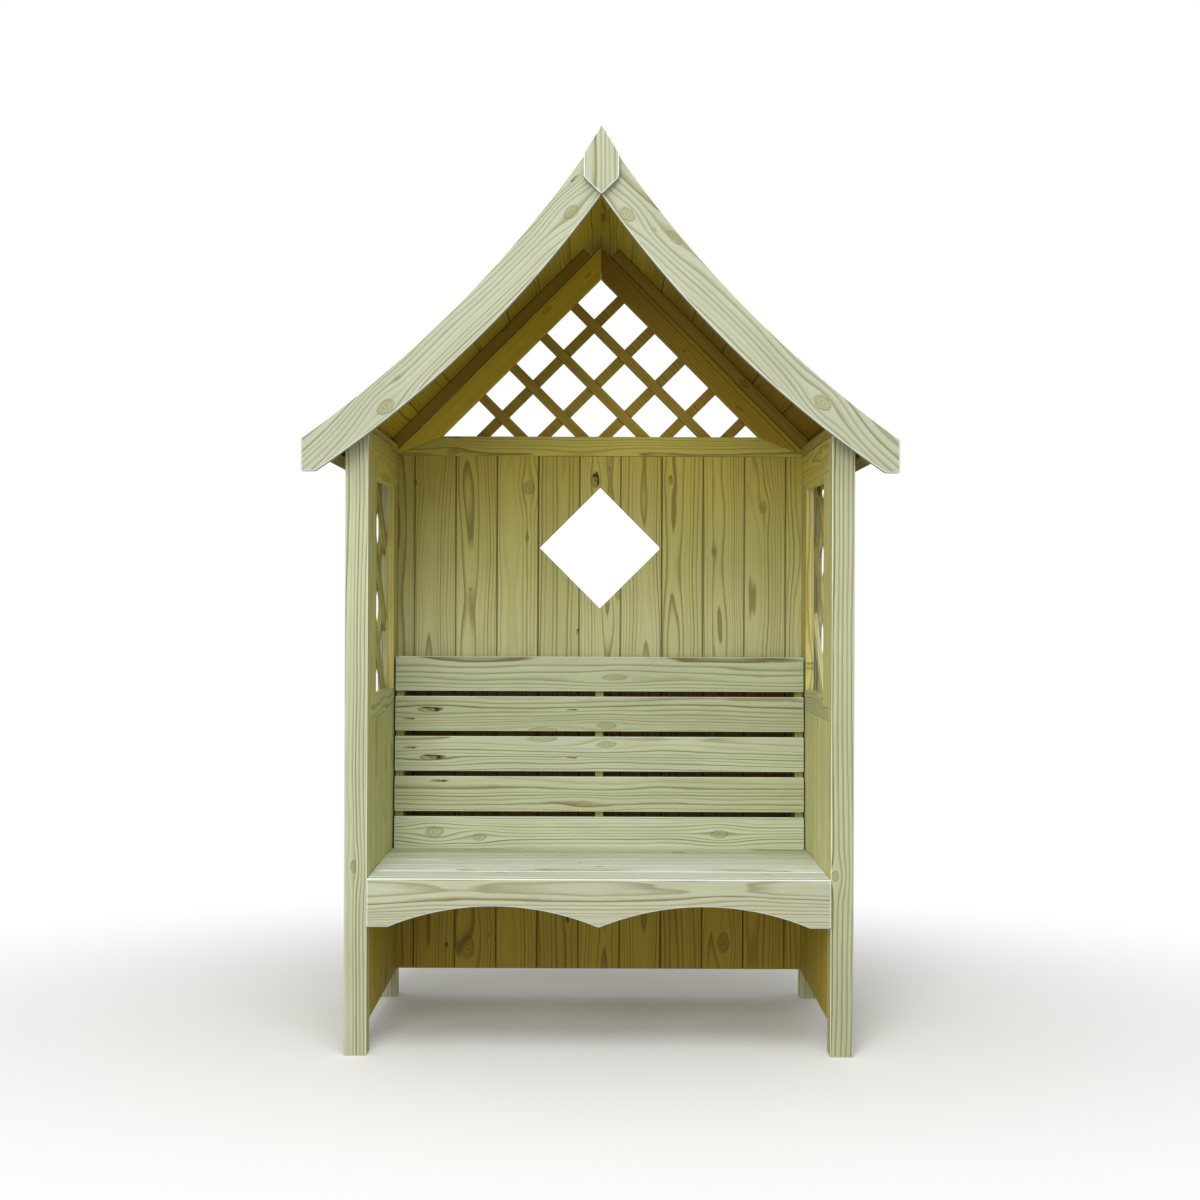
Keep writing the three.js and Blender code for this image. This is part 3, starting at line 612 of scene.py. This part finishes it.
def add_knots(g, vector, board_seed, seed, knots, start, width, groups):
    """The vector bent by a node's knots, each on its own board, and how much is knot, line and crack."""
    marks = dict.fromkeys(MARKS, 0.0)
    for along, across, radius, stretch, dark in knots:
        board, local = divmod(across - start, width)
        on_board = g.math("COMPARE", board_seed, seed + board * BOARD_SEED_STEP, SAME_SEED)
        inputs = {"Vector": vector, "Centre": (along, local - width / 2, 0), "Stretch": stretch,
                  "Radius": g.math("MULTIPLY_ADD", on_board, radius, OFF_BOARD_RADIUS),
                  "Dark": dark, **marks}
        knot = g.add("ShaderNodeGroup", inputs, node_tree=groups["knot"]).outputs
        vector = knot["Vector"]
        marks = {mark: knot[mark] for mark in MARKS}
    return vector, marks


def grain(g, position, name, look, seed, groups):
    """The pine group's outputs for a point of a node, and how much of it is knot, line and crack."""
    if "trellis" in name:
        vector, board_seed = lath_space(g, position, name, seed)
        marks = dict.fromkeys(MARKS, 0.0)
    else:
        axes = grain_axes(name)
        reach = node_reach(name, axes)
        start, width = board_widths(name, reach)
        vector, board_seed = board_space(g, position, axes, start, width, sum(reach[2]) / 2, seed)
        knots = knots_of(name, axes, reach)
        vector, marks = add_knots(g, vector, board_seed, seed, knots, start, width, groups)
    inputs = {"Vector": vector, "Seed": board_seed, "Ring": look.ring * MM, "Aside": look.aside * MM,
              "Below": look.below * MM, "Swing": look.swing * MM}
    return g.add("ShaderNodeGroup", inputs, node_tree=groups["pine"]).outputs, marks


def wood_colour(g, wood, fibre, marks, look):
    """Early and late wood with darker fibres and patches, a shade for each board, and knots."""
    late = linear(look.late)
    patch = g.smooth(wood["Patch"], *PATCH_SPAN)
    shade = wood["Shade"]
    colour = g.mix(wood["Late"], linear(look.early), late)
    colour = g.mix(g.times(fibre, FIBRE_SHARE), colour, late)
    colour = g.mix(g.times(patch, PATCH_SHARE), colour, late)
    colour = g.tinted(colour, g.combine(shade, shade, g.times(shade, shade)))
    colour = g.mix(g.times(marks["Knot"], KNOT_SHARE), colour, linear(KNOT_COLOUR))
    colour = g.mix(g.times(marks["Line"], LINE_SHARE), colour, linear(RING_COLOUR))
    return g.mix(marks["Crack"], colour, linear(CRACK_COLOUR))


def paint_edge_highlight_and_shade(g, colour, normal, name, look):
    """The colour with a painted highlight on the arrises of planed pieces, and painted shade in the grooves
    of boards and laths.
    """
    axis = grain_axes(name)[2]
    turned = g.math("ABSOLUTE", g.vector("DOT_PRODUCT", normal, tuple(axis)))
    edge = g.smooth(turned, *ARRIS_TURN)
    if name not in SHADE_PAINTED_SIDES:
        edge = g.times(edge, g.smooth(turned, *SIDE_TURN))
    painted_edge_colour = ARRIS_HIGHLIGHT_COLOUR if look.edge > 0 else GROOVE_SHADE_COLOUR
    return g.mix(g.times(edge, abs(look.edge)), colour, linear(painted_edge_colour))


def inward_of(name):
    """The direction in which a node's inner face looks."""
    axis = grain_axes(name)[1 if name.startswith("post") else 2]
    return axis if name.startswith(("side", "post")) and name.endswith("left") else -axis


def paint_inner_light_and_shade(g, colour, position, normal, name):
    """Painted light and shade on the faces that look inwards, and on every face of a piece under the roof.
    """
    prefixes = [prefix for prefix in PAINTED_LIGHT_AND_SHADE if name.startswith(prefix)]
    if not prefixes:
        return colour
    height = g.math("DIVIDE", g.separate(position)[2], MM)
    light_and_shade_colour = g.tinted(colour, g.ramp(height, PAINTED_LIGHT_AND_SHADE[max(prefixes, key=len)]))
    if name.startswith(SHADE_PAINTED_ALL_ROUND):
        return light_and_shade_colour
    turned = FACE_TURN if name.startswith(LIGHT_AND_SHADE_PAINTED_ON_FACE) else ROUND_TURN
    facing = g.smooth(g.vector("DOT_PRODUCT", normal, tuple(inward_of(name))), *turned)
    return g.mix(facing, colour, light_and_shade_colour)


def relief(g, wood, fibre, marks):
    """The surface's normal: late wood and fibres stand up a little, and cracks lie deep."""
    height = g.math("MULTIPLY_ADD", wood["Late"], LATE_RELIEF, g.times(fibre, FIBRE_RELIEF))
    height = g.math("MULTIPLY_ADD", marks["Crack"], CRACK_RELIEF, height)
    inputs = {"Strength": RELIEF_STRENGTH, "Distance": RELIEF_DEPTH, "Height": height}
    return g.add("ShaderNodeBump", inputs).outputs[0]


def pine(name, look, seed, groups):
    """The pressure-treated pine of one node, with the grain along its boards."""
    material = bpy.data.materials.new(f"pine_{name}")
    g = new_graph(material)
    place = g.add("ShaderNodeTexCoord", {}).outputs
    position, normal = place["Object"], place["Normal"]
    wood, marks = grain(g, position, name, look, seed, groups)
    fibre = g.smooth(wood["Fibre"], *FIBRE_SPAN)
    colour = wood_colour(g, wood, fibre, marks, look)
    # Painted highlights on arrises, and painted shade in grooves and on some narrow sides
    colour = paint_edge_highlight_and_shade(g, colour, normal, name, look)
    # Painted light and shade on the inner faces, and painted shade all round the pieces under the roof
    colour = paint_inner_light_and_shade(g, colour, position, normal, name)
    # Painted light and shade on single boards
    if name in PAINTED_BOARD_LIGHT_AND_SHADE:
        colour = g.scaled(colour, PAINTED_BOARD_LIGHT_AND_SHADE[name])
    inputs = {"Base Color": colour, "Roughness": g.spread(wood["Late"], *WOOD_ROUGHNESS),
              "Normal": relief(g, wood, fibre, marks), "Specular IOR Level": WOOD_SPECULAR}
    shader = g.add("ShaderNodeBsdfPrincipled", inputs)
    g.add("ShaderNodeOutputMaterial", {"Surface": shader.outputs[0]})
    return material


def arris_of(name):
    """How wide a node's eased edges are."""
    if name == "seat_board_1":
        return SEAT_FRONT_ARRIS
    if name.startswith(BOLD):
        return BOLD_ARRIS
    return FINE_ARRIS if "trellis" in name or "boards" in name else ARRIS


def ease_edges(node, name):
    """Modifiers that weld a node's mesh and round off its edges."""
    weld = node.modifiers.new("weld", "WELD")
    weld.merge_threshold = WELD_REACH
    if name.startswith(CURVED):
        flat = node.modifiers.new("whole faces", "DECIMATE")
        flat.decimate_type = "DISSOLVE"
        flat.angle_limit = FLAT_ANGLE
    ease = node.modifiers.new("eased edges", "BEVEL")
    ease.width = arris_of(name)
    ease.segments = ARRIS_STEPS
    ease.limit_method = "ANGLE"
    ease.angle_limit = ARRIS_ANGLE
    ease.harden_normals = True


def dress_nodes():
    """Gives every node its own pine and eased edges."""
    groups = {"knot": make_knot_group(), "pine": make_pine_group()}
    slots = {part["node"]: part["material_slot"] for part in frame["record"]["subparts"]}
    for number, name in enumerate(sorted(frame["nodes"])):
        node = frame["nodes"][name]
        other = [look for prefix, look in OTHER_LOOKS.items() if name.startswith(prefix)]
        look = LOOKS[other[0] if other else slots[name]]
        node.data.materials.clear()
        node.data.materials.append(pine(name, look, FIRST_SEED + number * NODE_SEED_STEP, groups))
        ease_edges(node, name)


def galvanised():
    """Dull zinc with a spangle of lighter and darker patches."""
    material = bpy.data.materials.new("galvanised")
    g = new_graph(material)
    patch = g.noise("spangle", g.add("ShaderNodeTexCoord", {}).outputs["Object"])
    colour = g.mix(patch, linear(STEEL_DARK_COLOUR), linear(STEEL_PALE_COLOUR))
    roughness = g.spread(patch, *STEEL_ROUGHNESS)
    inputs = {"Base Color": colour, "Roughness": roughness, "Metallic": STEEL_METALLIC}
    shader = g.add("ShaderNodeBsdfPrincipled", inputs)
    g.add("ShaderNodeOutputMaterial", {"Surface": shader.outputs[0]})
    return material


def add_head(mesh, centre, normal, recess):
    """A low domed head on a surface, with a recess for a screw."""
    spin = normal.to_track_quat("Z", "Y").to_matrix()
    rings = [(HEAD_RADIUS, -HEAD_SINK), (HEAD_RADIUS, HEAD_RISE / 2), (HEAD_RADIUS * DOME_SHARE, HEAD_RISE)]
    if recess:
        rings += [(HEAD_RADIUS * RECESS_SHARE, HEAD_RISE), (HEAD_RADIUS * RECESS_FLOOR_SHARE, 0)]
    turns = [math.tau * step / HEAD_SIDES for step in range(HEAD_SIDES)]
    loops = []
    for radius, height in rings:
        points = [Vector((radius * math.cos(turn), radius * math.sin(turn), height)) for turn in turns]
        loops.append([mesh.verts.new(centre + spin @ point) for point in points])
    for lower, upper in zip(loops, loops[1:]):
        for step in range(HEAD_SIDES):
            after = (step + 1) % HEAD_SIDES
            mesh.faces.new((lower[step], lower[after], upper[after], upper[step]))
    mesh.faces.new(loops[-1])
    mesh.faces.new(list(reversed(loops[0])))


def add_fasteners(name, carrier, spots, direction, recess, steel):
    """Heads on one node where rays along a direction meet it, as one piece."""
    surface = frame["nodes"][carrier].data
    tree = BVHTree.FromPolygons([v.co for v in surface.vertices], [p.vertices for p in surface.polygons])
    shape = bmesh.new()
    for spot in spots:
        hit, normal, _, _ = tree.ray_cast(Vector(spot) - direction, direction)
        if hit is not None:
            add_head(shape, hit, normal, recess)
    mesh = bpy.data.meshes.new(name)
    shape.to_mesh(mesh)
    shape.free()
    piece = new_object(name, mesh)
    piece.data.materials.append(steel)
    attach(piece, "root")


def middle_depth(name):
    """The middle of a node between its front and its back."""
    low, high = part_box(name)
    return (low[1] + high[1]) / 2


def nail_roof(side, steel):
    """Nails through the roof boards into the battens behind the bargeboards and on the gable."""
    carrier = f"roof_boards_{side}"
    down, outward = slope_axes(carrier)
    (top, bottom), (_, face) = node_reach(carrier, (down, outward))
    cover = (bottom - top) / ROOF_BOARDS
    depths = [middle_depth(f"roof_batten_{place}_{side}") for place in ("front", "gable")]
    spots = [down * (top + cover * (board + share)) + outward * face + Y * depth
             for board in range(ROOF_BOARDS) for share in NAIL_SHARES for depth in depths]
    add_fasteners(f"roof_nails_{side}", carrier, spots, -outward, False, steel)


def screw_side(side, steel):
    """Screws through a side's bottom rail, from outside."""
    outward = -X if side == "left" else X
    carrier = f"side_bottom_rail_{side}"
    low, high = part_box(carrier)
    spots = [(outward.x * OUTSIDE, low[1] + (high[1] - low[1]) * share, (low[2] + high[2]) / 2)
             for share in RAIL_SHARES]
    add_fasteners(f"side_screws_{side}", carrier, spots, -outward, True, steel)


def screw_back(place, steel):
    """Screws through a rail of the back wall, from outside."""
    carrier = f"back_rail_{place}"
    low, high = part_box(carrier)
    spots = [(BOARD_COVER * (board + share), OUTSIDE, (low[2] + high[2]) / 2)
             for board in SCREWED_BOARDS for share in NAIL_SHARES]
    add_fasteners(f"back_screws_{place}", carrier, spots, -Y, True, steel)


def fasten():
    """Nails and screws where such a seat has them, on faces that the photograph doesn't show."""
    steel = galvanised()
    for side in ("left", "right"):
        nail_roof(side, steel)
        screw_side(side, steel)
    for place in ("bottom", "middle", "top"):
        screw_back(place, steel)


def add_camera():
    """The photograph's view, in front of the posts at eye height, with a slight roll and shift."""
    low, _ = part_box("post_front_left")
    camera = bpy.data.cameras.new("camera")
    camera.lens = LENS_MM
    camera.sensor_width = SENSOR_MM
    camera.shift_x = (PHOTO_SIZE / 2 - PRINCIPAL_X) / PHOTO_SIZE
    camera.shift_y = (PRINCIPAL_Y - PHOTO_SIZE / 2) / PHOTO_SIZE
    camera.clip_end = VIEW_REACH
    holder = new_object("camera", camera)
    turn = Matrix.Rotation(math.pi / 2, 4, "X") @ Matrix.Rotation(CAMERA_ROLL, 4, "Z")
    holder.matrix_world = Matrix.Translation((0, low[1] - POST_FACE_TO_CAMERA, EYE_HEIGHT)) @ turn
    bpy.context.scene.camera = holder


def add_lamp(name, place, size, power, colour):
    """A round soft lamp that points at the middle of the arbour."""
    light = bpy.data.lights.new(name, "AREA")
    light.shape = "DISK"
    light.size = size
    light.energy = power
    light.color = colour
    holder = new_object(name, light)
    holder.location = place
    holder.rotation_euler = (Vector(LAMP_TARGET) - Vector(place)).to_track_quat("-Z", "Y").to_euler()


def seen_directly(g):
    """1 for rays from the camera, mirrors and glass, 0 for those that light the object."""
    path = g.add("ShaderNodeLightPath", {}).outputs
    seen = g.math("MAXIMUM", path["Is Camera Ray"], path["Is Glossy Ray"])
    return g.math("MAXIMUM", seen, path["Is Transmission Ray"])


def add_studio():
    """The lamps, and a sky that looks white but lights the object less."""
    world = bpy.data.worlds.new("studio")
    bpy.context.scene.world = world
    g = new_graph(world)
    strength = g.spread(seen_directly(g), SKY_LIGHT, 1)
    sky = g.add("ShaderNodeBackground", {"Color": WHITE, "Strength": strength})
    g.add("ShaderNodeOutputWorld", {"Surface": sky.outputs[0]})
    for name, (place, size, power, colour) in LAMPS.items():
        add_lamp(name, place, size, power, colour)


def pale_floor():
    """A matt floor that fades to white away from the arbour, and sends less light back than it shows."""
    material = bpy.data.materials.new("pale_floor")
    g = new_graph(material)
    position = g.add("ShaderNodeTexCoord", {}).outputs["Object"]
    away = g.vector("LENGTH", g.scaled(position, FADE_SCALE))
    seen = seen_directly(g)
    matt = g.add("ShaderNodeBsdfDiffuse", {"Color": g.mix(seen, FLOOR_LIT_COLOUR, FLOOR_SEEN_COLOUR)})
    white = g.add("ShaderNodeEmission", {"Color": WHITE, "Strength": 1.0})
    far = g.times(g.smooth(away, *FADE), seen)
    blend = g.add("ShaderNodeMixShader", {0: far, 1: matt.outputs[0], 2: white.outputs[0]})
    g.add("ShaderNodeOutputMaterial", {"Surface": blend.outputs[0]})
    return material


def add_floor():
    """A wide square floor at ground level."""
    mesh = bpy.data.meshes.new("floor")
    corners = [(x * FLOOR_HALF, y * FLOOR_HALF, 0) for x, y in ((-1, -1), (1, -1), (1, 1), (-1, 1))]
    mesh.from_pydata(corners, [], [(0, 1, 2, 3)])
    floor = new_object("floor", mesh)
    floor.data.materials.append(pale_floor())


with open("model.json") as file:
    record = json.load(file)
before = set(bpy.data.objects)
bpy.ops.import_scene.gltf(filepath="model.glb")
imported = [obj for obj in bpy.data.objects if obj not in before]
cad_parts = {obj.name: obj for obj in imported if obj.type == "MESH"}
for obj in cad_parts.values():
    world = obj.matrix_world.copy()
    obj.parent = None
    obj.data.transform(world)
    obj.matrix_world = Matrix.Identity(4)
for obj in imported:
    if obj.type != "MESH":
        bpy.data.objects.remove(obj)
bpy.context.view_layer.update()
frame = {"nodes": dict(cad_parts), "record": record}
bpy.context.scene.view_settings.view_transform = "Standard"
add_camera()
add_studio()
add_floor()
dress_nodes()
fasten()
